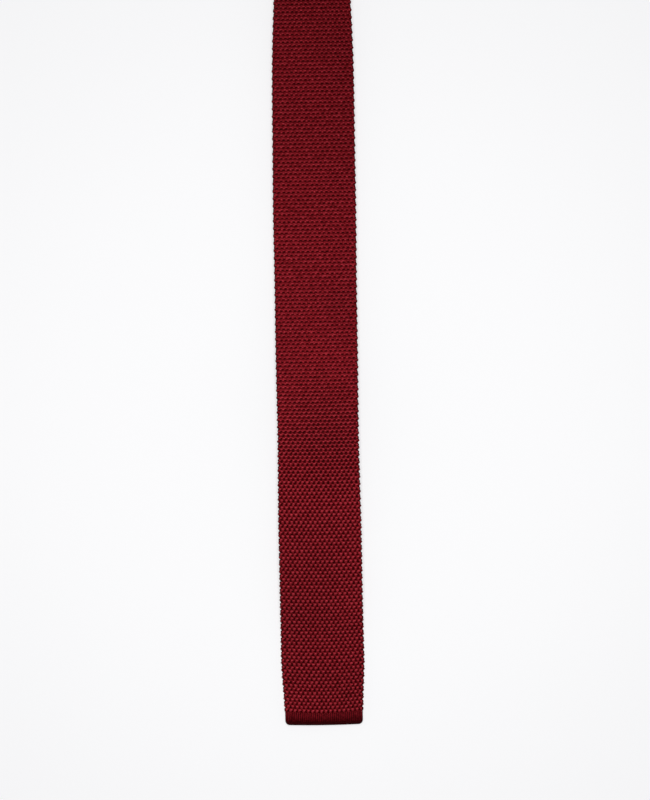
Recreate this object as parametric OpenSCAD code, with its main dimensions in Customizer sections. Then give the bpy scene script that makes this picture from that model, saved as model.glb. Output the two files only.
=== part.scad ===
// Square-end knitted necktie, folded once at the neck and laid flat, front blade on top.
// The front end points to -Y, the neck fold to +Y and the face of the front blade up.
// The origin lies on the surface under the tie, midway along it.
// Each blade is a knitted tube pressed flat, with a lining strip inside and a back seam.
// Depths are measured through the cloth, from its back (0) to its face (cloth_t).

/* [Front blade] */
// Width of the front blade
front_w = 57.5; // [48:0.5:70]
// Width of the front blade where it meets its hem
front_end_w = 54.6; // [46:0.2:68]
// Length from the front end to the outside of the neck fold
front_len = 780; // [640:5:960]
// Length of the front blade before it narrows towards the neck
front_straight = 405; // [330:5:500]
// Length over which the blade widens above its hem
end_ease_len = 38; // [20:2:80]
// Distance from the front end to the line where the blade bends up
bend_dist = 310; // [250:5:390]

/* [Tail] */
// Width of the tail
tail_w = 44; // [36:0.5:54]
// How far the tail end stops short of the front end
tail_short = 110; // [90:5:140]
// Length over which the tail narrows into the neckband
tail_taper = 200; // [150:5:250]

/* [Neckband] */
// Width of the neckband
neck_w = 30; // [25:0.5:36]
// Length of neckband from the fold to the join with the front blade
neck_front_len = 120; // [90:5:150]
// Length of neckband from the fold to the join with the tail
neck_tail_len = 150; // [120:5:180]
// Width of the stay tape inside the neckband
tape_w = 10; // [6:0.5:14]

/* [Cloth] */
// Thickness of the knitted wall
knit_t = 1.3; // [1:0.05:1.7]
// Thickness of the lining strip
lining_t = 0.25; // [0.2:0.05:0.4]
// Thickness of the stay tape
tape_t = 0.2; // [0.15:0.05:0.3]
// Play between the layers inside the tube
play = 0.05; // [0.03:0.01:0.1]
// Gap between the lining strip and the folded sides of the tube
lining_side_gap = 1; // [0.5:0.1:2]
// Width of the slit that the back seam closes
seam_w = 0.8; // [0.5:0.1:1.2]
// Length of a join seam along the tie
join_seam_len = 1; // [0.6:0.1:1.6]

/* [Hems] */
// Length of the plain hem at each square end
hem_len = 9.5; // [7:0.5:13]
// Radius of the hem's corners
corner_r = 3; // [1.5:0.5:4.5]
// How far the hem is set in from the knitted tube all round
hem_inset = 0.6; // [0.1:0.05:0.8]
// Distance from a hem to the bar tack that ends the back seam
tack_dist = 12; // [8:1:20]
// Length of a bar tack across the seam
tack_w = 9; // [6:0.5:12]
// Size of a bar tack along the seam
tack_len = 2.4; // [1.5:0.1:3.5]
// Depth of stitches sunk into the knitted wall
stitch_depth = 0.6; // [0.4:0.05:0.8]

/* [Keeper loop] */
// Distance from the front end to the middle of the keeper loop
loop_dist = 215; // [190:5:240]
// Length of the loop across the blade
loop_span = 46; // [38:1:50]
// Width of the loop along the blade
loop_w = 13; // [9:0.5:17]
// Thickness of the loop
loop_t = 0.8; // [0.6:0.05:1.1]
// Clear height above and below the loop
loop_clear = 0.4; // [0.3:0.05:0.6]
// Length of each sewn foot of the loop
loop_foot = 4; // [3:0.5:6]

/* [Labels] */
// Length of the blank label across the blade
label_w = 42; // [34:1:48]
// Height of the blank label along the blade
label_h = 20; // [15:1:26]
// Gap between the keeper loop and the blank label
label_gap = 9; // [6:1:13]
// Thickness of a label
label_t = 0.35; // [0.2:0.05:0.5]
// Length of the care label across the blade
care_w = 18; // [14:1:24]
// Height of the care label along the blade
care_h = 26; // [20:1:32]
// Gap between the keeper loop and the care label
care_gap = 7; // [5:1:12]

/* [Drape] */
// Distance from the tail end to where the front blade starts to sink
drape_gap = 14; // [8:1:20]
// Length over which the front blade sinks to the surface
drape_len = 46; // [36:1:56]

/* [Hidden] */

UPPER = 1;
LOWER = 0;
over = 5;
cut = 0.1;
bend_gap = 0.3;
end_steps = 6;
taper_steps = 24;
drape_steps = 12;
arc_fn = 64;

cavity_t = lining_t + tape_t + 3 * play;
cloth_t = 2 * knit_t + cavity_t;
layer_gap = loop_t + 2 * loop_clear;
upper_z = cloth_t + layer_gap;
stack_h = upper_z + cloth_t;
fold_r_in = layer_gap / 2;
fold_r_out = fold_r_in + cloth_t;

front_end_y = -front_len / 2;
fold_y = front_len / 2;
fold_centre_y = fold_y - fold_r_out;
tail_end_y = front_end_y + tail_short;
bend_y = front_end_y + bend_dist;
front_join_y = fold_y - neck_front_len;
tail_join_y = fold_y - neck_tail_len;
front_knit_y = front_end_y + hem_len;
tail_knit_y = tail_end_y + hem_len;
front_taper_y = front_end_y + front_straight;
front_taper = fold_centre_y - front_taper_y;
tail_taper_y = tail_join_y - tail_taper;
drape_high_y = tail_end_y - drape_gap;
drape_low_y = drape_high_y - drape_len;
front_tack_y = front_knit_y + tack_dist;
tail_tack_y = tail_knit_y + tack_dist;

loop_y = front_end_y + loop_dist;
label_y = loop_y + loop_w / 2 + label_gap + label_h / 2;
care_top_y = loop_y - loop_w / 2 - care_gap;
loop_foot_x = (loop_span - loop_foot) / 2;
thread_w = 1.2;
label_tack_inset = 2.5;
care_stitch_inset = 2;

wine = [0.42, 0.08, 0.11];
wine_dark = [0.31, 0.05, 0.08];
thread_red = [0.5, 0.12, 0.15];
lining_grey = [0.32, 0.29, 0.29];
label_black = [0.09, 0.08, 0.09];
care_white = [0.86, 0.85, 0.82];

function ease(u) = (1 - cos(180 * max(0, min(1, u)))) / 2;

function front_half(y) =
    front_end_w / 2
    + (front_w - front_end_w) / 2 * ease((y - front_knit_y) / end_ease_len)
    - (front_w - neck_w) / 2 * ease((y - front_taper_y) / front_taper);

function tail_half(y) = tail_w / 2 - (tail_w - neck_w) / 2 * ease((y - tail_taper_y) / tail_taper);

function half_w(layer, y) = layer == UPPER ? front_half(y) : tail_half(y);

function steps(from, length, count) = [for (i = [0:count]) from + i * length / count];

function knots(layer) = layer == UPPER
    ? concat(
        steps(front_knit_y, end_ease_len, end_steps),
        steps(front_taper_y, front_taper, taper_steps))
    : steps(tail_taper_y, tail_taper, taper_steps);

// Height of the upper layer's back above the surface
function rest_z(y) = upper_z * ease((y - drape_low_y) / drape_len);

// Outline of a stretch of the tie seen from above
module plan(layer, y_from, y_to, inset = 0) {
    between = [for (y = knots(layer)) if (y > y_from + cut && y < y_to - cut) y];
    ys = concat([y_from], between, [y_to]);
    last = len(ys) - 1;
    right = [for (y = ys) [half_w(layer, y) - inset, y]];
    left = [for (i = [last:-1:0]) [inset - half_w(layer, ys[i]), ys[i]]];
    polygon(concat(right, left));
}

// Narrow strip along the centre line
module centre_strip(width, y_from, y_to) {
    translate([-width / 2, y_from]) square([width, y_to - y_from]);
}

// Half of the neck fold seen from the side, above the middle of the stack
module fold_side(d_from, d_to) {
    translate([fold_centre_y, stack_h / 2]) intersection() {
        difference() {
            circle(fold_r_in + d_to, $fn = arc_fn);
            circle(fold_r_in + d_from, $fn = arc_fn);
        }
        translate([0, bend_gap / 2]) square(2 * fold_r_out);
    }
}

// Side view of a layer between two depths of its cloth
module side(layer, d_from, d_to) {
    ys = concat([front_end_y - over], steps(drape_low_y, drape_len, drape_steps), [fold_centre_y]);
    last = len(ys) - 1;
    if (layer == UPPER) {
        backs = [for (y = ys) [y, rest_z(y) + d_from]];
        faces = [for (i = [last:-1:0]) [ys[i], rest_z(ys[i]) + d_to]];
        polygon(concat(backs, faces));
        fold_side(d_from, d_to);
    } else {
        translate([0, stack_h]) mirror([0, 1]) {
            translate([tail_end_y - over, upper_z + d_from])
                square([fold_centre_y - tail_end_y + over, d_to - d_from]);
            fold_side(d_from, d_to);
        }
    }
}

// Cloth of a layer between two depths, cut to the outline given as its child
module laid(layer, d_from, d_to) {
    intersection() {
        translate([0, 0, -over]) linear_extrude(stack_h + 2 * over) children();
        rotate([90, 0, 90]) linear_extrude(2 * front_w, center = true) side(layer, d_from, d_to);
    }
}

// Knitted tube pressed flat, open at both ends, with a slit along its back
module knit_tube(layer, y_from, y_to, slit_from) {
    difference() {
        laid(layer, 0, cloth_t) plan(layer, y_from, y_to);
        laid(layer, knit_t, cloth_t - knit_t) plan(layer, y_from - cut, y_to + cut, knit_t);
        laid(layer, -cut, knit_t + cut) centre_strip(seam_w, slit_from, y_to + over);
    }
}

// Bar tack across the back seam, sunk into the knitted wall
module bar_tack(layer, y) {
    laid(layer, 0, stitch_depth)
        translate([-tack_w / 2, y]) square([tack_w, tack_len]);
}

// Plain hem that closes a square end
module hem(layer, y_end) {
    half = half_w(layer, y_end) - hem_inset;
    laid(layer, hem_inset, cloth_t - hem_inset) {
        translate([-half, y_end + corner_r]) square([2 * half, hem_len - corner_r]);
        translate([corner_r - half, y_end]) square([2 * (half - corner_r), hem_len]);
        for (side_x = [-1, 1])
            translate([side_x * (half - corner_r), y_end + corner_r]) circle(corner_r, $fn = arc_fn);
    }
}

// Lining strip against the inside of the face
module lining(layer, y_from, y_to) {
    top = cloth_t - knit_t - play;
    laid(layer, top - lining_t, top) plan(layer, y_from, y_to, knit_t + lining_side_gap);
}

// Stay tape against the inside of the back
module neck_tape(layer, y_from) {
    bottom = knit_t + play;
    laid(layer, bottom, bottom + tape_t) centre_strip(tape_w, y_from, fold_y + over);
}

// Seam thread that fills the slit
module back_seam(layer, y_from, y_to) {
    laid(layer, 0, knit_t) centre_strip(seam_w, y_from, y_to);
}

// Flat piece centred across the blade, lying against the upper layer's back
module patch(width, height, thickness, y_centre, lift = 0) {
    translate([-width / 2, y_centre - height / 2, upper_z - lift - thickness])
        cube([width, height, thickness]);
}

// Thread that passes through a piece of the given height and into the knitted wall
module through_stitch(x, y, size_x, size_y, height) {
    translate([x - size_x / 2, y - size_y / 2, upper_z - height])
        cube([size_x, size_y, height + stitch_depth]);
}

module loop_tack(side_x) {
    through_stitch(side_x * loop_foot_x, loop_y, thread_w, loop_w - 2 * thread_w, loop_t + loop_clear);
}

module label_tack_set() {
    for (side_x = [-1, 1], side_y = [-1, 1])
        through_stitch(
            side_x * (label_w / 2 - label_tack_inset), label_y + side_y * (label_h / 2 - label_tack_inset),
            2 * thread_w, thread_w, label_t);
}

module care_stitch_row() {
    through_stitch(0, care_top_y - care_stitch_inset, care_w - 2 * care_stitch_inset, thread_w, label_t);
}

module front_end_hem() {
    color(wine_dark) hem(UPPER, front_end_y);
}

module front_blade_lower() {
    color(wine) difference() {
        knit_tube(UPPER, front_knit_y, bend_y - bend_gap / 2, front_tack_y);
        bar_tack(UPPER, front_tack_y);
        for (side_x = [-1, 1]) loop_tack(side_x);
        label_tack_set();
        care_stitch_row();
    }
}

module front_blade_upper() {
    color(wine) knit_tube(
        UPPER, bend_y + bend_gap / 2, front_join_y - join_seam_len / 2, bend_y - over);
}

module neckband_front_half() {
    color(wine) knit_tube(UPPER, front_join_y + join_seam_len / 2, fold_y + over, bend_y);
}

module neckband_tail_half() {
    color(wine) knit_tube(LOWER, tail_join_y + join_seam_len / 2, fold_y + over, tail_end_y);
}

module tail_blade() {
    color(wine) difference() {
        knit_tube(LOWER, tail_knit_y, tail_join_y - join_seam_len / 2, tail_tack_y);
        bar_tack(LOWER, tail_tack_y);
    }
}

module tail_end_hem() {
    color(wine_dark) hem(LOWER, tail_end_y);
}

module lining_front_lower() {
    color(lining_grey) lining(UPPER, front_knit_y + play, bend_y - bend_gap / 2);
}

module lining_front_upper() {
    color(lining_grey) lining(UPPER, bend_y + bend_gap / 2, fold_y + over);
}

module lining_tail() {
    color(lining_grey) lining(LOWER, tail_knit_y + play, fold_y + over);
}

module neck_tape_front_half() {
    color(lining_grey) neck_tape(UPPER, front_join_y);
}

module neck_tape_tail_half() {
    color(lining_grey) neck_tape(LOWER, tail_join_y);
}

module back_seam_front_lower() {
    color(thread_red) difference() {
        back_seam(UPPER, front_tack_y + tack_len, bend_y - bend_gap / 2);
        care_stitch_row();
    }
}

module back_seam_front_upper() {
    color(thread_red) back_seam(UPPER, bend_y + bend_gap / 2, fold_y + over);
}

module back_seam_tail() {
    color(thread_red) back_seam(LOWER, tail_tack_y + tack_len, fold_y + over);
}

module join_seam_front() {
    color(wine_dark) knit_tube(
        UPPER, front_join_y - join_seam_len / 2, front_join_y + join_seam_len / 2, bend_y);
}

module join_seam_tail() {
    color(wine_dark) knit_tube(
        LOWER, tail_join_y - join_seam_len / 2, tail_join_y + join_seam_len / 2, tail_end_y);
}

module bar_tack_front() {
    color(thread_red) bar_tack(UPPER, front_tack_y);
}

module bar_tack_tail() {
    color(thread_red) bar_tack(LOWER, tail_tack_y);
}

module keeper_loop() {
    color(wine_dark) difference() {
        union() {
            patch(loop_span, loop_w, loop_t, loop_y, loop_clear);
            for (side_x = [-1, 1])
                translate([side_x * loop_foot_x, 0]) patch(loop_foot, loop_w, loop_t + loop_clear, loop_y);
        }
        for (side_x = [-1, 1]) loop_tack(side_x);
    }
}

module keeper_loop_tack_left() {
    color(thread_red) loop_tack(-1);
}

module keeper_loop_tack_right() {
    color(thread_red) loop_tack(1);
}

module label() {
    color(label_black) difference() {
        patch(label_w, label_h, label_t, label_y);
        label_tack_set();
    }
}

module label_tacks() {
    color(thread_red) label_tack_set();
}

module care_label() {
    color(care_white) difference() {
        patch(care_w, care_h, label_t, care_top_y - care_h / 2);
        care_stitch_row();
    }
}

module care_label_stitches() {
    color(thread_red) care_stitch_row();
}

front_end_hem();
front_blade_lower();
front_blade_upper();
neckband_front_half();
neckband_tail_half();
tail_blade();
tail_end_hem();
lining_front_lower();
lining_front_upper();
lining_tail();
neck_tape_front_half();
neck_tape_tail_half();
back_seam_front_lower();
back_seam_front_upper();
back_seam_tail();
join_seam_front();
join_seam_tail();
bar_tack_front();
bar_tack_tail();
keeper_loop();
keeper_loop_tack_left();
keeper_loop_tack_right();
label();
label_tacks();
care_label();
care_label_stitches();
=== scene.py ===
"""Looks of a square-end knitted necktie, folded once at the neck, front blade on top.

The tie is treated as one strip. A place on it is s (along it, from the tail end to the front end),
x (across it) and d (through the cloth, from its back, 0, to its face, CLOTH_T), all in metres.
place() lays the strip out: tail face down, round the neck fold, then the front blade face up.
"""
import math

import bpy
import numpy as np
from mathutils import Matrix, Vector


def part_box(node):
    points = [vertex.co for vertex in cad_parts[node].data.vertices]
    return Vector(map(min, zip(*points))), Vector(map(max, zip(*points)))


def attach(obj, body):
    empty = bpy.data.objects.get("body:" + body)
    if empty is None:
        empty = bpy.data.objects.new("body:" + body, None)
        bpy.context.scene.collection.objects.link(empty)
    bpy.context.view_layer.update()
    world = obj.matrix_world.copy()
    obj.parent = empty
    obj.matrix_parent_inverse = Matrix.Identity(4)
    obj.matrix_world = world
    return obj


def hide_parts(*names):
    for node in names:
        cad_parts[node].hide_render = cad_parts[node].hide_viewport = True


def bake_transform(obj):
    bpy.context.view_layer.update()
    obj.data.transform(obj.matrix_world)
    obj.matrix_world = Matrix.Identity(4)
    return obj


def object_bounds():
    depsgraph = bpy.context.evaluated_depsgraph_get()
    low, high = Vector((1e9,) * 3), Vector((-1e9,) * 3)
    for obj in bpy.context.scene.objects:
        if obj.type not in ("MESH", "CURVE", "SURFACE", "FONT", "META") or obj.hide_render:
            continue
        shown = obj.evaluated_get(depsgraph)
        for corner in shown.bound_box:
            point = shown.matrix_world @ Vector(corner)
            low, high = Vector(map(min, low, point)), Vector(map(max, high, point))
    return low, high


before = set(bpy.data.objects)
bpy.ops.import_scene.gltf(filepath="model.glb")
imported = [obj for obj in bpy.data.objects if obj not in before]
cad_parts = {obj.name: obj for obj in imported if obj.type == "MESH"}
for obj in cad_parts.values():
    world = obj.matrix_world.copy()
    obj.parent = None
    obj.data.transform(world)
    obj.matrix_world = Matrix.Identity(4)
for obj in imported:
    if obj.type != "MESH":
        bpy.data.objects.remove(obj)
CAD_BOX = [list(corner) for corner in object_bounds()]

# ------------------------------------------------------------------ sizes from the frame
MM = 0.001
FRONT_END_Y, FOLD_Y, STACK_H = CAD_BOX[0][1], CAD_BOX[1][1], CAD_BOX[1][2]
CLOTH_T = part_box("tail_blade")[1].z
UPPER_Z = STACK_H - CLOTH_T
FOLD_R = UPPER_Z / 2 - CLOTH_T / 2
FOLD_CENTRE_Y = FOLD_Y - FOLD_R - CLOTH_T
TAIL_END_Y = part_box("tail_end_hem")[0].y
FRONT_W = 2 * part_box("front_blade_lower")[1].x
TAIL_W = 2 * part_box("tail_blade")[1].x
NECK_W = 2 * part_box("neckband_tail_half")[1].x
HEM_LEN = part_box("front_end_hem")[1].y - FRONT_END_Y
HEM_INSET = STACK_H - UPPER_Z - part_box("front_end_hem")[1].z
BEND_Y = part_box("front_blade_upper")[0].y
TAIL_JOIN_Y = (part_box("join_seam_tail")[0].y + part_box("join_seam_tail")[1].y) / 2
LOOP_LOW, LOOP_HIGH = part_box("keeper_loop")

# The same shape values as the CAD model
FRONT_END_W = 2 * (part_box("front_end_hem")[1].x + HEM_INSET)
END_EASE = 38 * MM
FRONT_STRAIGHT = 405 * MM
TAIL_TAPER = 200 * MM
DRAPE_GAP, DRAPE_LEN = 14 * MM, 46 * MM
SLIT_W = 0.1 * MM

FOLD_MID_R = FOLD_R + CLOTH_T / 2
FOLD_LEN = math.pi * FOLD_MID_R
S_FOLD_IN = FOLD_CENTRE_Y - TAIL_END_Y
S_FOLD_OUT = S_FOLD_IN + FOLD_LEN
S_FRONT_END = S_FOLD_OUT + FOLD_CENTRE_Y - FRONT_END_Y
S_BEND = S_FOLD_OUT + FOLD_CENTRE_Y - BEND_Y

# ------------------------------------------------------------------ the knit
# Stitches round each tube, and the pitch of the rows: at the front end, and from ROW_RAMP above it
FRONT_COLUMNS, NECK_COLUMNS, TAIL_COLUMNS = 37, 24, 29
ROW_AT_END, ROW_ABOVE = 2.41 * MM, 2.6 * MM
ROW_RAMP = 495 * MM

# Where the front blade's meshes meet, in mm from its end, and the vertices that a stitch takes
FRONT_CUTS = [660, 515, 370, 250, 130]
PER_COLUMN, PER_ROW = 6, 6
INNER_COLUMNS = 12

# The cloth, the depth of its stitches, and the lips of the back slit, which roll inwards
WALL = 1.3 * MM
RELIEF = 1.05 * MM
LIP_DEPTH, LIP_REACH = 0.95 * MM, 1.2 * MM

# How the blade strays from straight: bowed rows, swaying middle, stepped and uneven sides, a waist
BOW, BOW_AT_END, BOW_REACH = 1.6 * MM, 0.35, 110 * MM
SWAY, SWAY_LOW, SWAY_REACH = 0.9 * MM, 260 * MM, 250 * MM
SWAY_STOP, SWAY_FADE = 520 * MM, 200 * MM
SCALLOP = 0.28 * MM
SIDE_WAVE, SIDE_WAVE_LEN = 0.12 * MM, 17 * MM
WAIST, WAIST_FROM_END, WAIST_REACH = 0.5 * MM, 205 * MM, 75 * MM

# The stitch: slant of the yarn, strength of the row and ply lines, shape powers of dab and hole
SLANT = 0.3
ROW_LINE = 0.145
PLY_LINE = 0.24
DAB_POWER, HOLE_POWER = 2.4, 2.5
# It is crisp near the front end and loses SOFTENING above that; soft holes lean towards the sides
CRISP_LEN, CRISP_FADE, SOFTENING = 130 * MM, 130 * MM, 0.67
LEAN = 0.35
# Painted shade: tone of the stitches on the very sides, where the tube turns away from the light, of the
# tube's inside, and how far in the side shade reaches
SIDE_SHADE, INSIDE_SHADE, SIDE_SHADE_REACH = 0.55, 0.2, 1.5 * MM

# The strips inside the tubes
LINING_DEPTHS = 1.60 * MM, 1.85 * MM
LINING_MARGIN = 1.0 * MM
TAPE_DEPTHS = 1.35 * MM, 1.55 * MM
TAPE_W = 10 * MM

# ------------------------------------------------------------------ the view, the light and the table
VIEW_HEIGHT = 546.4 * MM
VIEW_CENTRE_FROM_END = 222.9 * MM
VIEW_SIDE = 5.15 * MM
ROLL = math.radians(-0.94)
LENS, SENSOR = 70.0, 36.0
KEY_FROM_END, KEY_HEIGHT = 215 * MM, 550 * MM
KEY_SIZE, KEY_POWER = 300 * MM, 2.4
PALE = (0.985, 0.985, 1.0, 1)
FLOOR_TONE = 0.45
FLOOR_SIZE = 40.0
FLOOR_GLOW = [(0.0, 0.515), (0.2, 0.58), (0.35, 0.62), (0.6, 0.67), (1.0, 0.73)]
HORIZON_HEIGHT, SKY_HEIGHT = 0.2, 0.45
HORIZON_LEVEL, SKY_LEVEL = 0.84, 0.2


def ease(u):
    """Smooth step from 0 to 1 as u goes from 0 to 1."""
    return (1 - np.cos(np.pi * np.clip(u, 0, 1))) / 2


def upper_y(s):
    """Where a place on the upper layer lies along the row frame's Y."""
    return FOLD_CENTRE_Y - (s - S_FOLD_OUT)


def upper_s(y):
    """The place on the upper layer at a Y of the row frame."""
    return S_FOLD_OUT + FOLD_CENTRE_Y - y


def s_from_front(millimetres):
    """The place that many millimetres from the front end."""
    return S_FRONT_END - millimetres * MM


def rest_z(y):
    """Height of the upper layer's back above the floor."""
    high = TAIL_END_Y - DRAPE_GAP
    return UPPER_Z * ease((y - high + DRAPE_LEN) / DRAPE_LEN)


def half_width(s):
    """Half the tie's width at s."""
    from_end = upper_y(s) - FRONT_END_Y
    taper = FOLD_CENTRE_Y - FRONT_END_Y - FRONT_STRAIGHT
    front = (FRONT_END_W + (FRONT_W - FRONT_END_W) * ease((from_end - HEM_LEN) / END_EASE)
             - (FRONT_W - NECK_W) * ease((from_end - FRONT_STRAIGHT) / taper)) / 2
    tail_taper_s = TAIL_JOIN_Y - TAIL_TAPER - TAIL_END_Y
    tail = (TAIL_W - (TAIL_W - NECK_W) * ease((s - tail_taper_s) / TAIL_TAPER)) / 2
    return np.where(s < S_FOLD_IN, tail, np.where(s > S_FOLD_OUT, front, NECK_W / 2))


def sway(s):
    """The lower blade doesn't lie dead straight: how far its middle is to the side."""
    from_end = S_FRONT_END - s
    curve = np.minimum((from_end - SWAY_LOW) / SWAY_REACH, 1) ** 2
    return SWAY * curve * (1 - ease((from_end - SWAY_STOP) / SWAY_FADE))


def place(s, x, d):
    """Point in the row frame for a place on the strip."""
    s, x, d = np.broadcast_arrays(s, x, d)
    turn = np.clip((s - S_FOLD_IN) / FOLD_LEN, 0, 1) * np.pi - np.pi / 2
    radius = FOLD_R + d
    y_up = upper_y(s)
    y = np.where(s <= S_FOLD_IN, TAIL_END_Y + s,
                 np.where(s >= S_FOLD_OUT, y_up, FOLD_CENTRE_Y + radius * np.cos(turn)))
    z = np.where(s <= S_FOLD_IN, CLOTH_T - d,
                 np.where(s >= S_FOLD_OUT, rest_z(y_up) + d, STACK_H / 2 + radius * np.sin(turn)))
    return np.stack([x + sway(s), y, z], -1)


def outline(u, half, thick, inset, slit):
    """Across a flattened tube: (x, d) at the share u of the way round from the left lip of the
    back slit to its right lip, inset from the outline."""
    r = thick / 2
    flat = half - r
    back = flat - slit / 2
    arc = np.pi * r
    a = u * (2 * back + 2 * arc + 2 * flat)
    left = np.clip((a - back) / r, 0, np.pi)
    right = np.clip((a - back - arc - 2 * flat) / r, 0, np.pi)
    on_face = np.clip(a - back - arc, 0, 2 * flat)
    after = a - back - 2 * arc - 2 * flat
    parts = [a < back, a < back + arc, a < back + arc + 2 * flat, after < 0]
    x = np.select(parts, [-slit / 2 - a, -flat - (r - inset) * np.sin(left), on_face - flat,
                          flat + (r - inset) * np.sin(right)], flat - after)
    d = np.select(parts, [inset + 0 * a, r - (r - inset) * np.cos(left), thick - inset + 0 * a,
                          r + (r - inset) * np.cos(right)], inset)
    return x, d


def length_round(half, thick, slit):
    """Distance round the outline, less the slit."""
    return 4 * (half - thick / 2) - slit + np.pi * thick


def row_places():
    """Place s of each boundary between rows, from the tail hem to the front hem."""
    from_end = [HEM_LEN]
    stop = S_FRONT_END - HEM_LEN
    while from_end[-1] < stop:
        share = min(1.0, from_end[-1] / ROW_RAMP)
        from_end.append(from_end[-1] + ROW_AT_END + (ROW_ABOVE - ROW_AT_END) * share)
    from_end = np.array(from_end)
    fitted = HEM_LEN + (from_end - HEM_LEN) * (stop - HEM_LEN) / (from_end[-1] - HEM_LEN)
    return S_FRONT_END - fitted[::-1]


ROW_S = row_places()


def row_at(s):
    """The row boundary nearest to s."""
    return int(np.abs(ROW_S - s).argmin())


def scatter(i, j):
    """A repeatable value from 0 to 1 for a pair of whole numbers."""
    return (np.sin(12.9898 * i + 78.233 * j) * 43758.5453) % 1


def stitch_height(columns, rows, crisp, lean):
    """Height from 0 to 1 of the staggered stitch: a raised dab in each cell and a deep hole between
    the dabs of a row, both slanting as the yarn does, on a ground with a line along each row and the
    lines of the twisted plies, three to every two rows. a and b run across and along a stitch, from
    -0.5 to 0.5, and the widths, lengths and offsets below are shares of a stitch in the same way.
    crisp, 0 to 1, makes the dabs stand out and the holes tall and narrow."""
    soft = 1 - crisp
    row = np.floor(rows + 1e-9)
    b = rows - row - 0.5
    shift = 0.5 * (row % 2)
    slanted = columns - shift + SLANT * b
    a = slanted % 1 - 0.5
    hole_a = (slanted + 0.5) % 1 - 0.5
    uneven = scatter(row, np.floor(slanted))
    narrow = 0.37 - 0.12 * b * crisp
    short = 0.42 - 0.10 * crisp
    fall = (np.abs(a) / narrow) ** DAB_POWER + (np.abs(b + 0.09) / short) ** DAB_POWER
    dab = np.clip(1 - fall, 0, 1) ** 0.6
    row_line = ROW_LINE * (1 - 0.25 * soft) * np.cos(2 * np.pi * (b + 0.14 + 0.54 * soft))
    plies = PLY_LINE * np.cos(2 * np.pi * columns) * np.cos(3 * np.pi * (rows + 0.15 - 0.34 * soft))
    ridge = 0.46 + 0.12 * crisp + row_line + plies
    wide, tall = 0.30 - 0.10 * crisp, 0.15 + 0.20 * crisp
    hole_b = b - 0.06 - lean * hole_a
    hole = np.exp(-(np.abs(hole_a) / wide) ** HOLE_POWER - (np.abs(hole_b) / tall) ** HOLE_POWER)
    deep = (0.20 + 0.58 * crisp) * (1.15 - 0.3 * uneven)
    raised = (0.06 + 0.34 * crisp) * (0.7 + 0.6 * uneven)
    return np.clip(ridge + raised * dab - deep * hole, 0, 1)


def bow(s, x):
    """Rows lie a little nearer to the front end in the middle of the blade."""
    from_end = S_FRONT_END - s
    fade = np.where(from_end < HEM_LEN, BOW_AT_END + (1 - BOW_AT_END) * from_end / HEM_LEN,
                    np.exp(-(from_end - HEM_LEN) / BOW_REACH))
    return BOW * fade * (1 - np.clip(x / half_width(s), -1, 1) ** 2)


def bow_end(s, x, s_end):
    """The front hem follows the bow of the rows above it; the tail's is straight."""
    return bow(s, x) if s_end > S_FOLD_OUT else 0 * x


# ------------------------------------------------------------------ meshes
def new_mesh(name, verts, faces, smooth=True, flat_faces=()):
    """Object from a vertex array and a list of face arrays, each of shape (faces, corners)."""
    mesh = bpy.data.meshes.new(name)
    sizes = np.concatenate([np.full(len(f), f.shape[1]) for f in faces])
    corners = np.concatenate([f.ravel() for f in faces])
    mesh.vertices.add(len(verts))
    mesh.vertices.foreach_set("co", np.asarray(verts, np.float32).ravel())
    mesh.loops.add(len(corners))
    mesh.loops.foreach_set("vertex_index", corners.astype(np.int32))
    mesh.polygons.add(len(sizes))
    starts = np.concatenate([[0], np.cumsum(sizes)[:-1]])
    mesh.polygons.foreach_set("loop_start", starts.astype(np.int32))
    mesh.update(calc_edges=True)
    mesh.polygons.foreach_set("use_smooth", np.full(len(sizes), smooth))
    for index in flat_faces:
        mesh.polygons[index].use_smooth = False
    obj = bpy.data.objects.new(name, mesh)
    bpy.context.scene.collection.objects.link(obj)
    return obj


def numbered(rows, columns, first=0):
    """Vertex numbers of a grid, row by row from first."""
    return first + np.arange(rows * columns).reshape(rows, columns)


def closed(index, axis=1):
    """A grid of vertex numbers with its first column, or row, again at its end."""
    return np.concatenate([index, index.take([0], axis)], axis)


def quads_of(index):
    """Quads between the neighbours of a grid of vertex numbers."""
    corners = [index[:-1, :-1], index[1:, :-1], index[1:, 1:], index[:-1, 1:]]
    return np.stack(corners, -1).reshape(-1, 4)


def add_attribute(obj, name, values):
    attribute = obj.data.attributes.new(name, "FLOAT", "POINT")
    attribute.data.foreach_set("value", np.asarray(values, np.float32).ravel())


def add_uv(obj, uv):
    """Per-vertex UVs, from 0 to 1."""
    layer = obj.data.uv_layers.new(name="OFBake")
    index = np.zeros(len(obj.data.loops), np.int32)
    obj.data.loops.foreach_get("vertex_index", index)
    layer.data.foreach_set("uv", np.asarray(uv, np.float32)[index].ravel())


def mark_sharp(obj, rim):
    """Edges with both ends on the rim are sharp, so that the closed ends don't shade the cloth."""
    ends = np.zeros(len(obj.data.edges) * 2, np.int32)
    obj.data.edges.foreach_get("vertices", ends)
    on_rim = np.isin(ends.reshape(-1, 2), rim).all(1)
    attribute = obj.data.attributes.new("sharp_edge", "BOOLEAN", "EDGE")
    attribute.data.foreach_set("value", on_rim)


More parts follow.
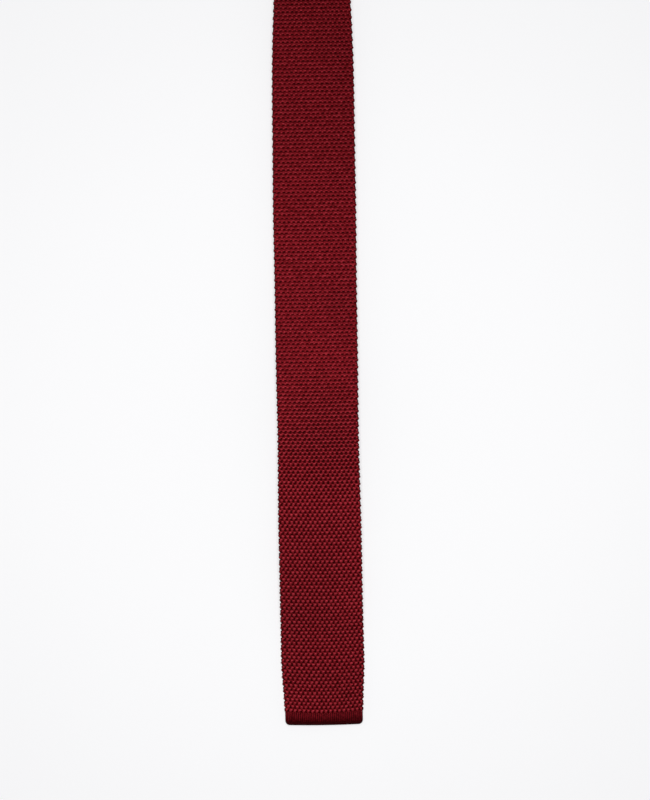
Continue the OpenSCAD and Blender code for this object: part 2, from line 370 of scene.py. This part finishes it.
def shell(name, outer, inner):
    """Closed piece between an outer and an inner grid of the same number of rows: the two side
    edges are joined along their length and the two ends are closed. The outer grid takes most of
    the texture, the inner one a narrow strip beside it."""
    rows, n_out = outer.shape[:2]
    n_in = inner.shape[1]
    first_in = rows * n_out
    out_left = np.arange(rows) * n_out
    out_right = out_left + n_out - 1
    in_left = first_in + np.arange(rows) * n_in
    in_right = in_left + n_in - 1
    left = np.stack([out_left[:-1], in_left[:-1], in_left[1:], out_left[1:]], -1)
    right = np.stack([out_right[:-1], out_right[1:], in_right[1:], in_right[:-1]], -1)
    start = np.concatenate([np.arange(n_out), first_in + np.arange(n_in)[::-1]])
    end = np.concatenate([(rows - 1) * n_out + np.arange(n_out),
                          first_in + (rows - 1) * n_in + np.arange(n_in)[::-1]])[::-1]
    faces = [quads_of(numbered(rows, n_out)), quads_of(numbered(rows, n_in, first_in))[:, ::-1],
             left, right, start[None], end[None]]
    count = sum(len(f) for f in faces)
    verts = np.concatenate([outer.reshape(-1, 3), inner.reshape(-1, 3)])
    obj = new_mesh(name, verts, faces, flat_faces=(count - 2, count - 1))
    mark_sharp(obj, np.concatenate([start, end]))
    v = np.linspace(0.01, 0.99, rows)
    grids = [np.stack(np.meshgrid(np.linspace(low, high, n), v), -1).reshape(-1, 2)
             for low, high, n in ((0.01, 0.85, n_out), (0.88, 0.99, n_in))]
    add_uv(obj, np.concatenate(grids))
    return obj


def knit_piece(name, row_from, row_to, columns):
    """A length of knitted tube between two row boundaries, with stitches modelled on its outside."""
    rows = np.linspace(row_from, row_to, (row_to - row_from) * PER_ROW + 1)[:, None]
    s = np.interp(rows, np.arange(len(ROW_S)), ROW_S)
    u = np.linspace(0, 1, columns * PER_COLUMN + 1)[None]
    from_end = S_FRONT_END - s
    half = half_width(s) + SIDE_WAVE * np.sin(s / SIDE_WAVE_LEN) + SCALLOP * np.cos(np.pi * rows)
    half -= WAIST * np.exp(-((from_end - WAIST_FROM_END) / WAIST_REACH) ** 2)
    around = length_round(half, CLOTH_T, SLIT_W)
    x_flat, _ = outline(u, half, CLOTH_T, 0, SLIT_W)
    crisp = 1 - SOFTENING * ease((from_end - CRISP_LEN) / CRISP_FADE)
    lean = LEAN * x_flat / half * (1 - crisp)
    wander = 0.06 * np.sin(s / (9 * MM) + 7 * u) + 0.05 * np.sin(s / (23 * MM) - 11 * u)
    height = stitch_height(u * columns + wander, rows + 0 * u, crisp, lean)
    lip = np.exp(-(np.minimum(u, 1 - u) * around / LIP_REACH) ** 2)
    inset = RELIEF * (1 - height) * (1 - lip) + LIP_DEPTH * lip
    x, d = outline(u, half, CLOTH_T, inset, SLIT_W)
    outer = place(s + bow(s, x), x, d)
    u_in = np.linspace(0, 1, INNER_COLUMNS + 1)[None]
    x_in, d_in = outline(u_in, half - WALL, CLOTH_T - 2 * WALL, 0, SLIT_W)
    inner = place(s + bow(s, x_in), x_in, d_in + WALL)
    obj = shell(name, outer, inner)
    # Painted shade: the colour follows the stitch's height, darker in the holes and lighter on the dabs;
    # the very sides, where the tube turns away from the light, are darker still, and the tube's inside
    # is dark
    tone = height * (SIDE_SHADE + (1 - SIDE_SHADE) * ease((half - np.abs(x_flat)) / SIDE_SHADE_REACH))
    shade = np.concatenate([tone.ravel(), np.full(inner.shape[0] * inner.shape[1], INSIDE_SHADE)])
    add_attribute(obj, "lift", shade)
    across = np.concatenate([(u * around).ravel(), (u_in * around).ravel()])
    along = np.concatenate([(s + 0 * u).ravel(), (s + 0 * u_in).ravel()])
    add_attribute(obj, "across", across)
    add_attribute(obj, "along", along)
    return obj


def hem_piece(name, s_end, s_top):
    """Plain fine-ribbed band that closes a square end, with round corners, a rolled edge and a
    groove just inside it. e is the distance from the end."""
    rib, course, corner, rolled = 1.3 * MM, 0.9 * MM, 3 * MM, 0.9 * MM
    groove_at, groove_w = 2.1 * MM, 0.35 * MM
    near_edge = [0, 0.1, 0.3, 0.6, 1.0, 1.4, 1.9, 2.4, 3.0]
    e = np.concatenate([near_edge, np.linspace(3.5, HEM_LEN / MM, 14)])[:, None] * MM
    side = 1 if s_top < s_end else -1
    s = s_end - side * e
    full_half = float(half_width(np.array(s_top))) - HEM_INSET
    half = full_half - corner + np.sqrt(corner ** 2 - np.clip(corner - e, 0, None) ** 2)
    roll = np.sqrt(np.clip(1 - (np.clip(rolled - e, 0, None) / rolled) ** 2, 0.02, 1))
    groove = np.exp(-((e - groove_at) / groove_w) ** 2)
    thick = (CLOTH_T - 2 * HEM_INSET) * (0.72 + 0.28 * ease((e - 2 * MM) / (6 * MM))) * roll
    ribs = int(round(length_round(full_half, float(thick[-1, 0]), 0) / rib))
    u = np.linspace(0, 1, ribs * 4 + 1)[None, :-1]
    wave = 0.5 + 0.5 * np.cos(2 * np.pi * u * ribs)
    fine = 0.5 + 0.5 * np.cos(2 * np.pi * e / course)
    inset = (0.12 * (1 - wave) + 0.05 * fine) * MM * ease(e / (2.5 * MM)) + 0.10 * MM * groove
    x, d = outline(u, half, thick, np.minimum(inset, thick / 3), 0)
    d = d + (CLOTH_T - thick) / 2
    points = place(s + side * bow_end(s, x, s_end), x, d)
    index = numbered(*points.shape[:2])
    faces = [quads_of(closed(index)), index[:1], index[-1:, ::-1]]
    if side > 0:
        faces = [face[:, ::-1] for face in faces]
    obj = new_mesh(name, points.reshape(-1, 3), faces)
    # Painted shade and highlight: lighter on the rib and course crests, darker between them, in the
    # groove and towards the rolled end
    tone = (0.02 + 0.85 * wave + 0.2 * (1 - fine)) * ease((e + 1.5 * MM) / (9 * MM)) - 0.25 * groove
    add_attribute(obj, "lift", tone * np.ones_like(x))
    add_attribute(obj, "across", (u * length_round(half, thick, 0)).ravel())
    add_attribute(obj, "along", (s + 0 * u).ravel())
    return obj


def tubes(name, paths, radius, sides=6):
    """One object of round-ended threads, each along its own short path of points. A known fault:
    the sides of the threads face inwards, and only their end caps face outwards."""
    askew = [0.13, 0.31, 0.94]  # a direction that no thread runs along
    verts, faces, caps = [], [], []
    total = 0
    ring = 2 * np.pi * np.arange(sides) / sides
    for path in paths:
        path = np.asarray(path, float)
        n = len(path)
        forward = np.gradient(path, axis=0)
        forward /= np.linalg.norm(forward, axis=1)[:, None]
        side_way = np.cross(forward, askew)
        side_way /= np.linalg.norm(side_way, axis=1)[:, None]
        up = np.cross(side_way, forward)
        size = radius * np.sqrt(np.clip(1 - np.linspace(-1, 1, n) ** 6, 0.15, 1))[:, None, None]
        rings = path[:, None] + size * (np.cos(ring)[None, :, None] * side_way[:, None]
                                        + np.sin(ring)[None, :, None] * up[:, None])
        verts.append(rings.reshape(-1, 3))
        index = numbered(n, sides, total)
        faces.append(quads_of(closed(index))[:, ::-1])
        caps += [index[:1], index[-1:, ::-1]]
        total += n * sides
    return new_mesh(name, np.concatenate(verts), [np.concatenate(faces), np.concatenate(caps)])


def bar_stitches(name, s_mid, x_mid, length, extent, pitch, depth, along_s=True, radius=0.22 * MM):
    """A block of satin stitches on the back: threads of the given length, laid side by side at the
    pitch over the extent. along_s says which way they are set out."""
    count = max(2, int(round(extent / pitch)))
    share = np.linspace(-1, 1, 7)
    arch = depth - 0.12 * MM * (1 - share ** 2)
    paths = []
    for i in range(count):
        step = (i + 0.5) / count * extent - extent / 2
        slant = 0.25 * pitch * share
        x = x_mid + (share * length / 2 if along_s else step + slant)
        s = s_mid + (step + slant if along_s else share * length / 2)
        paths.append(place(s, x, arch))
    return tubes(name, paths, radius)


def slip_stitches(name, s_from, s_to):
    """Slip stitches that draw the two lips of the back together: each dives in at its ends."""
    pitch, half_len, dive = 5.5 * MM, 0.9 * MM, 0.55 * MM
    share = np.linspace(-1, 1, 7)
    paths = []
    for i in range(int((s_to - s_from) / pitch)):
        s = s_from + (i + 0.5) * pitch + half_len * share
        x = share * (1.25 + 0.15 * math.sin(2.1 * i)) * MM
        paths.append(place(s, x, 0.22 * MM + dive * share ** 4))
    return tubes(name, paths, 0.24 * MM)


def linking_ring(name, s_join):
    """Chain of linked stitches round the tube where two knitted lengths are joined. A known fault:
    its faces point inwards."""
    pitch, per_link, sides = 2.2 * MM, 12, 8
    inset = 0.62 * MM
    half = float(half_width(np.array(s_join)))
    n = per_link * int(length_round(half, CLOTH_T, 0) / pitch)
    u = np.linspace(0, 1, n, endpoint=False)
    links = np.abs(np.sin(np.pi * u * n / per_link))
    x, d = outline(u, np.full_like(u, half), CLOTH_T, inset, 0)
    ring = 2 * np.pi * np.arange(sides) / sides
    size = (0.42 + 0.18 * links)[:, None] * MM
    x0, d0 = outline(u, np.full_like(u, half), CLOTH_T, 0, 0)
    out = np.stack([x0 - x, d0 - d], -1) / inset
    across = x[:, None] + size * np.cos(ring) * out[:, :1]
    depth = d[:, None] + size * np.cos(ring) * out[:, 1:]
    points = place(s_join + 1.5 * size * np.sin(ring), across, depth)
    index = closed(closed(numbered(n, sides), axis=0))
    return new_mesh(name, points.reshape(-1, 3), [quads_of(index)])


def inner_strip(name, s_from, s_to, half, low, high):
    """Strip of cloth lying inside the tube between two depths. half is its half width, or a
    function of s that gives it."""
    step = 0.9 * MM
    s = np.linspace(s_from, s_to, int((s_to - s_from) / step) + 1)[:, None]
    half_at = half(s) if callable(half) else half + 0 * s
    x = half_at * np.linspace(-1, 1, 9)[None]
    obj = shell(name, place(s, x, high), place(s, x, low))
    return obj


def band(name, s_mid, width, height, thick, depth_at, ribs=0, rib_depth=0.0):
    """Flat woven piece on the upper layer's back, with rounded edges. depth_at(x) is the depth of
    its middle; ribs run along the tie. Its section is a squared-off ellipse that thins, and draws in
    a very little, at the two sides."""
    run_power, rise_power, side_power = 0.28, 0.8, 60
    thinnest, draw_in = 0.05, 0.006
    n_x = max(24, ribs * 6)
    x = np.linspace(-width / 2, width / 2, n_x + 1)[:, None]
    turn = np.linspace(0, 2 * np.pi, 28, endpoint=False)[None]
    edge = np.clip(1 - (np.abs(x) / (width / 2)) ** side_power, thinnest, 1)
    swell = 1 - rib_depth * (0.5 - 0.5 * np.cos(2 * np.pi * x / width * ribs)) if ribs else 1
    run = np.sign(np.cos(turn)) * np.abs(np.cos(turn)) ** run_power
    rise = np.sign(np.sin(turn)) * np.abs(np.sin(turn)) ** rise_power
    s = s_mid + height / 2 * run * (1 - draw_in * (1 - edge))
    d = depth_at(x) + thick / 2 * rise * swell * np.sqrt(edge)
    points = place(s, x + 0 * turn, d)
    index = numbered(*points.shape[:2])
    faces = [quads_of(closed(index)), index[:1], index[-1:, ::-1]]
    obj = new_mesh(name, points.reshape(-1, 3), faces)
    add_attribute(obj, "across", (x + 0 * turn).ravel())
    add_attribute(obj, "along", (s + 0 * x).ravel())
    return obj


# ------------------------------------------------------------------ materials
def graph(name, roughness, specular, sheen=0.0, metallic=0.0):
    """A new material: its node tree, and its shader with the constant values set."""
    material = bpy.data.materials.new(name)
    material.use_nodes = True
    shader = material.node_tree.nodes["Principled BSDF"]
    shader.inputs["Roughness"].default_value = roughness
    shader.inputs["Specular IOR Level"].default_value = specular
    shader.inputs["Metallic"].default_value = metallic
    shader.inputs["Sheen Weight"].default_value = sheen
    shader.inputs["Sheen Roughness"].default_value = 0.45
    return material, material.node_tree, shader


def node(tree, kind, inputs=None, **settings):
    """A new node. inputs gives, by name or number, a value or the socket that feeds it."""
    made = tree.nodes.new(kind)
    for key, value in settings.items():
        setattr(made, key, value)
    for key, value in (inputs or {}).items():
        if isinstance(value, bpy.types.NodeSocket):
            tree.links.new(value, made.inputs[key])
        else:
            made.inputs[key].default_value = value
    return made


def attribute(tree, name):
    return node(tree, "ShaderNodeAttribute", attribute_name=name).outputs["Fac"]


def cloth_point(tree, scale_along=1.0):
    """Coordinates that follow the cloth, with the distance along it scaled."""
    along = node(tree, "ShaderNodeMath", {0: attribute(tree, "along"), 1: scale_along},
                 operation="MULTIPLY")
    point = node(tree, "ShaderNodeCombineXYZ", {0: attribute(tree, "across"), 1: along.outputs[0]})
    return point.outputs[0]


def ramp(tree, factor, stops):
    """Colour ramp through stops, each a position and a colour."""
    made = node(tree, "ShaderNodeValToRGB", {0: factor})
    elements = made.color_ramp.elements
    while len(elements) < len(stops):
        elements.new(0.5)
    for element, (position, colour) in zip(elements, stops):
        element.position = position
        element.color = (*colour, 1)
    return made.outputs[0]


def knit_material(name, dark, middle, light, ply_scale=900.0):
    """Silk yarn with twisted plies. Its colour is painted shade and highlight picked from the stitch's
    height:
    dark down in the stitch (painted shade), bright on its raised dabs (painted highlight). The yarn's
    own unevenness is added to the stitch's height before the colour is picked."""
    yarn_share, ply_depth = 0.70, 0.12 * MM
    material, tree, shader = graph(name, 0.42, 0.14, metallic=0.3)
    shader.inputs["Specular Tint"].default_value = (0.8, 0.25, 0.3, 1)
    point = cloth_point(tree)
    patch = node(tree, "ShaderNodeTexNoise", {"Vector": point, "Scale": 14.0, "Detail": 3.0})
    yarn = node(tree, "ShaderNodeTexNoise", {"Vector": point, "Scale": 420.0, "Detail": 2.0})
    lift = node(tree, "ShaderNodeMath", {0: yarn.outputs[0], 1: yarn_share, 2: attribute(tree, "lift")},
                operation="MULTIPLY_ADD")
    lowered = node(tree, "ShaderNodeMath", {0: lift.outputs[0], 1: yarn_share / 2},
                   operation="SUBTRACT")
    # Painted shade and highlight: the colour runs from shade in the holes to a highlight on the dabs
    colour = ramp(tree, lowered.outputs[0], [(0.14, dark), (0.56, middle), (0.96, light)])
    strength = node(tree, "ShaderNodeMapRange",
                    {0: patch.outputs[0], 1: 0.3, 2: 0.7, 3: 0.90, 4: 1.10})
    varied = node(tree, "ShaderNodeHueSaturation", {"Color": colour, "Value": strength.outputs[0]})
    tree.links.new(varied.outputs[0], shader.inputs["Base Color"])
    ply = node(tree, "ShaderNodeTexWave", {"Vector": cloth_point(tree, 1.6), "Scale": ply_scale,
                                           "Distortion": 2.5, "Detail": 1.0}, bands_direction="DIAGONAL")
    bump = node(tree, "ShaderNodeBump",
                {"Height": ply.outputs[0], "Strength": 0.35, "Distance": ply_depth})
    tree.links.new(bump.outputs[0], shader.inputs["Normal"])
    return material


def woven_material(name, low, high, across_scale, along_scale, roughness, specular):
    """Plain or satin weave: crossing fine threads, with a slight uneven tone."""
    thread_depth = 0.08 * MM
    material, tree, shader = graph(name, roughness, specular, sheen=0.1)
    point = node(tree, "ShaderNodeTexCoord").outputs["Object"]
    warp = node(tree, "ShaderNodeTexWave", {"Vector": point, "Scale": across_scale, "Distortion": 0.6},
                bands_direction="X")
    weft = node(tree, "ShaderNodeTexWave", {"Vector": point, "Scale": along_scale, "Distortion": 0.6},
                bands_direction="Y")
    both = node(tree, "ShaderNodeMath", {0: warp.outputs[0], 1: weft.outputs[0]}, operation="MULTIPLY")
    noise = node(tree, "ShaderNodeTexNoise", {"Vector": point, "Scale": 160.0, "Detail": 3.0})
    mixed = node(tree, "ShaderNodeMath", {0: noise.outputs[0], 1: 0.5, 2: both.outputs[0]},
                 operation="MULTIPLY_ADD")
    tree.links.new(ramp(tree, mixed.outputs[0], [(0.1, low), (0.9, high)]), shader.inputs["Base Color"])
    bump = node(tree, "ShaderNodeBump",
                {"Height": both.outputs[0], "Strength": 0.5, "Distance": thread_depth})
    tree.links.new(bump.outputs[0], shader.inputs["Normal"])
    return material


def floor_material():
    """Lit table: it glows a little more where less of the overhead light falls on it."""
    material, tree, shader = graph("lit_table", 0.9, 0.0)
    shader.inputs["Base Color"].default_value = (FLOOR_TONE, FLOOR_TONE, FLOOR_TONE, 1)
    shader.inputs["Emission Color"].default_value = PALE
    point = node(tree, "ShaderNodeTexCoord").outputs["Object"]
    away = node(tree, "ShaderNodeVectorMath", {0: point, 1: (0, FRONT_END_Y + KEY_FROM_END, 0)},
                operation="DISTANCE")
    glow = ramp(tree, away.outputs["Value"], [(reach, (level,) * 3) for reach, level in FLOOR_GLOW])
    tree.links.new(glow, shader.inputs["Emission Strength"])
    return material


# In each knit, dark is painted shade for the holes and hollows, light a painted highlight for the dabs
# and crests
KNIT = knit_material("silk_knit", dark=(0.022, 0.0001, 0.0002), middle=(0.15, 0.0040, 0.0070),
                     light=(0.36, 0.026, 0.038))
NECK_KNIT = knit_material("neck_knit", dark=(0.020, 0.0001, 0.0002), middle=(0.14, 0.0037, 0.0066),
                          light=(0.33, 0.023, 0.034))
HEM = knit_material("jersey_hem", dark=(0.02, 0.0001, 0.0002), middle=(0.078, 0.0012, 0.0028),
                    light=(0.20, 0.008, 0.013), ply_scale=1600.0)
THREAD = woven_material("sewing_thread", (0.10, 0.004, 0.008), (0.26, 0.014, 0.022),
                        across_scale=2600, along_scale=1500, roughness=0.45, specular=0.5)
LINKING = woven_material("linked_seam", (0.07, 0.003, 0.005), (0.17, 0.009, 0.014),
                         across_scale=1500, along_scale=2100, roughness=0.5, specular=0.4)
GROSGRAIN = woven_material("grosgrain", (0.035, 0.001, 0.002), (0.12, 0.004, 0.007),
                           across_scale=1700, along_scale=900, roughness=0.5, specular=0.15)
LABEL = woven_material("label_satin", (0.004, 0.004, 0.005), (0.016, 0.015, 0.018),
                       across_scale=2600, along_scale=700, roughness=0.45, specular=0.25)
CARE = woven_material("care_satin", (0.60, 0.59, 0.56), (0.80, 0.79, 0.76),
                      across_scale=2400, along_scale=800, roughness=0.45, specular=0.3)
LINING = woven_material("lining_cloth", (0.045, 0.038, 0.040), (0.11, 0.10, 0.10),
                        across_scale=1200, along_scale=1200, roughness=0.8, specular=0.15)
TAPE = woven_material("stay_tape", (0.03, 0.026, 0.028), (0.08, 0.07, 0.075),
                      across_scale=1500, along_scale=1100, roughness=0.7, specular=0.3)


def dress(obj, material, slot, body, *nodes):
    """Material and body of a piece, and the CAD nodes that it stands for; slot is not used. A piece
    without a body is not attached to one."""
    obj.data.materials.clear()
    obj.data.materials.append(material)
    if body:
        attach(obj, body)
    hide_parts(*nodes)
    return obj


# ------------------------------------------------------------------ the pieces
def build_front_blade():
    """Five lengths of one tube, from the neck to the front end; the third lies across the bend, on
    neither body.
    """
    last = len(ROW_S) - 1
    cuts = [row_at(s_from_front(c)) for c in FRONT_CUTS] + [last]
    bodies = ["front_upper", "front_upper", None, "front_lower", "front_lower"]
    for i, body in enumerate(bodies):
        piece = knit_piece(f"front_knit_{i + 1}", cuts[i], cuts[i + 1], FRONT_COLUMNS)
        replaced = "front_blade_upper" if i < 2 else "front_blade_lower"
        dress(piece, KNIT, "knit", body, replaced)
        if body is None:
            blend_at_bend(piece)


def blend_at_bend(piece):
    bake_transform(piece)


def blend_at_neck(piece):
    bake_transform(piece)


def build_neckband():
    rows = row_at(TAIL_JOIN_Y - TAIL_END_Y), row_at(s_from_front(FRONT_CUTS[0]))
    piece = knit_piece("neckband_knit", *rows, NECK_COLUMNS)
    dress(piece, NECK_KNIT, "neckband", None, "neckband_front_half", "neckband_tail_half")
    blend_at_neck(piece)


def build_tail():
    cuts = np.linspace(0, row_at(TAIL_JOIN_Y - TAIL_END_Y), 4).astype(int)
    for i in range(3):
        piece = knit_piece(f"tail_knit_{i + 1}", int(cuts[i]), int(cuts[i + 1]), TAIL_COLUMNS)
        dress(piece, KNIT, "knit", "tail", "tail_blade")


def build_hems():
    front = hem_piece("front_hem", S_FRONT_END, S_FRONT_END - HEM_LEN)
    dress(front, HEM, "hem", "front_lower", "front_end_hem")
    tail = hem_piece("tail_hem", 0.0, HEM_LEN)
    dress(tail, HEM, "hem", "tail", "tail_end_hem")


def build_seams():
    """Back seam in four runs, one of them across the bend, its end tacks, and the two joins."""
    reach = 25 * MM
    tack_low, tack_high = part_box("bar_tack_tail")
    tack_len = tack_high.y - tack_low.y
    tail_start = tack_high.y - TAIL_END_Y
    front_stop = upper_s(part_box("bar_tack_front")[1].y)
    dress(slip_stitches("seam_tail", tail_start, S_FOLD_IN), THREAD, "thread", "tail", "back_seam_tail")
    upper = slip_stitches("seam_upper", S_FOLD_OUT, S_BEND - reach)
    dress(upper, THREAD, "thread", "front_upper", "back_seam_front_upper")
    at_bend = slip_stitches("seam_at_bend", S_BEND - reach, S_BEND + reach)
    blend_at_bend(dress(at_bend, THREAD, "thread", None, "back_seam_front_lower"))
    lower = slip_stitches("seam_lower", S_BEND + reach, front_stop)
    dress(lower, THREAD, "thread", "front_lower", "back_seam_front_lower")
    for name, s, body in (("bar_tack_tail", tail_start - tack_len / 2, "tail"),
                          ("bar_tack_front", front_stop + tack_len / 2, "front_lower")):
        tack = bar_stitches(name + "_stitches", s, 0, length=9 * MM, extent=tack_len, pitch=0.4 * MM,
                            depth=0.42 * MM)
        dress(tack, THREAD, "thread", body, name)
    for name, s, body in (("join_seam_tail", TAIL_JOIN_Y - TAIL_END_Y, "tail"),
                          ("join_seam_front", s_from_front(FRONT_CUTS[0]), "front_upper")):
        ring = linking_ring(name + "_chain", float(ROW_S[row_at(s)]))
        dress(ring, LINKING, "linking", body, name)


def build_keeper_loop():
    """Band that stands clear of the back between its two sewn feet."""
    span, loop_w = LOOP_HIGH.x - LOOP_LOW.x, LOOP_HIGH.y - LOOP_LOW.y
    loop_s = upper_s((LOOP_LOW.y + LOOP_HIGH.y) / 2)
    foot, rise_len, thick, arch = 4 * MM, 5 * MM, 0.8 * MM, 0.4 * MM
    clear = UPPER_Z - LOOP_HIGH.z

    def loop_depth(x):
        rise = ease((span / 2 - foot - np.abs(x)) / rise_len)
        return -thick / 2 - arch * rise - clear

    loop = band("keeper_loop_band", loop_s, span, loop_w, thick, loop_depth, ribs=48, rib_depth=0.35)
    dress(loop, GROSGRAIN, "loop", "front_lower", "keeper_loop")
    for side, name in ((-1, "keeper_loop_tack_left"), (1, "keeper_loop_tack_right")):
        tack = bar_stitches(name + "_stitches", loop_s, side * (span - foot) / 2, length=2.2 * MM,
                            extent=loop_w - 2.4 * MM, pitch=0.45 * MM, depth=-thick - 0.02 * MM)
        dress(tack, THREAD, "thread", "front_lower", name)


def build_labels():
    """Two blank labels, and the threads that hold them: four corner tacks, and a row of stitches."""
    on_label, thin = -0.36 * MM, 0.16 * MM
    for node_name, material, slot in (("label", LABEL, "label"), ("care_label", CARE, "care")):
        low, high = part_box(node_name)
        thick = high.z - low.z
        piece = band(node_name + "_cloth", upper_s((low.y + high.y) / 2), high.x - low.x, high.y - low.y,
                     thick, lambda x, t=thick: -t / 2 + 0 * x)
        dress(piece, material, slot, "front_lower", node_name)

    low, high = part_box("label_tacks")
    tack_w, tack_h = 2.4 * MM, 1.2 * MM
    corners = [(x, y) for x in (low.x + tack_w / 2, high.x - tack_w / 2)
               for y in (low.y + tack_h / 2, high.y - tack_h / 2)]
    for i, (x, y) in enumerate(corners):
        tack = bar_stitches(f"label_tack_{i + 1}", upper_s(y), x, length=tack_w, extent=tack_h,
                            pitch=0.4 * MM, depth=on_label, radius=thin)
        dress(tack, THREAD, "thread", "front_lower", "label_tacks")
    low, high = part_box("care_label_stitches")
    row = bar_stitches("care_label_row", upper_s((low.y + high.y) / 2), 0, length=1.0 * MM,
                       extent=high.x - low.x, pitch=1.0 * MM, depth=on_label, along_s=False, radius=thin)
    dress(row, THREAD, "thread", "front_lower", "care_label_stitches")


def build_inside():
    """Lining strips and stay tape: two linings meet on the upper front blade."""
    meet = s_from_front(FRONT_CUTS[1])

    def lining_half(s):
        return half_width(s) - WALL - LINING_MARGIN

    lining = inner_strip("lining_tail_and_neck", HEM_LEN, meet, lining_half, *LINING_DEPTHS)
    blend_at_neck(dress(lining, LINING, "lining", None, "lining_tail", "lining_front_upper"))
    lining = inner_strip("lining_front", meet, S_FRONT_END - HEM_LEN, lining_half, *LINING_DEPTHS)
    blend_at_bend(dress(lining, LINING, "lining", None, "lining_front_upper", "lining_front_lower"))
    ends = TAIL_JOIN_Y - TAIL_END_Y, s_from_front(FRONT_CUTS[0])
    tape = inner_strip("stay_tape", *ends, TAPE_W / 2, *TAPE_DEPTHS)
    blend_at_neck(dress(tape, TAPE, "tape", None, "neck_tape_tail_half", "neck_tape_front_half"))


# ------------------------------------------------------------------ camera and stage
def build_camera():
    """Camera straight above the lower front blade, with the photograph's slight roll."""
    camera = bpy.data.objects.new("camera", bpy.data.cameras.new("camera"))
    bpy.context.scene.collection.objects.link(camera)
    camera.data.lens = LENS
    camera.data.sensor_width = SENSOR
    height = VIEW_HEIGHT * LENS / SENSOR + STACK_H
    centre_y = FRONT_END_Y + VIEW_CENTRE_FROM_END
    camera.location = (VIEW_SIDE * math.cos(ROLL), centre_y + VIEW_SIDE * math.sin(ROLL), height)
    camera.rotation_euler = (0, 0, ROLL)
    bpy.context.scene.camera = camera


def build_light():
    """Square light over the front end, unseen by the camera."""
    light = bpy.data.objects.new("overhead", bpy.data.lights.new("overhead", "AREA"))
    light.data.size = KEY_SIZE
    light.data.energy = KEY_POWER
    light.location = (0.0, FRONT_END_Y + KEY_FROM_END, KEY_HEIGHT)
    light.visible_camera = False
    bpy.context.scene.collection.objects.link(light)


def build_stage():
    """Lit table, and a pale sky that darkens with height."""
    signs = [(-1, -1), (1, -1), (1, 1), (-1, 1)]
    corners = np.array([(FLOOR_SIZE * x, FLOOR_SIZE * y, 0) for x, y in signs])
    floor = new_mesh("floor", corners, [np.arange(4)[None]], smooth=False)
    floor.data.materials.append(floor_material())
    world = bpy.data.worlds.new("pale_studio")
    world.use_nodes = True
    background = world.node_tree.nodes["Background"]
    background.inputs["Color"].default_value = PALE
    direction = node(world.node_tree, "ShaderNodeTexCoord").outputs["Generated"]
    height = node(world.node_tree, "ShaderNodeSeparateXYZ", {0: direction}).outputs["Z"]
    level = node(world.node_tree, "ShaderNodeMapRange",
                 {0: height, 1: HORIZON_HEIGHT, 2: SKY_HEIGHT, 3: HORIZON_LEVEL, 4: SKY_LEVEL})
    world.node_tree.links.new(level.outputs[0], background.inputs["Strength"])
    bpy.context.scene.world = world
    build_light()
    bpy.context.scene.view_settings.view_transform = "Standard"


build_camera()
build_stage()
build_front_blade()
build_neckband()
build_tail()
build_hems()
build_seams()
build_keeper_loop()
build_labels()
build_inside()
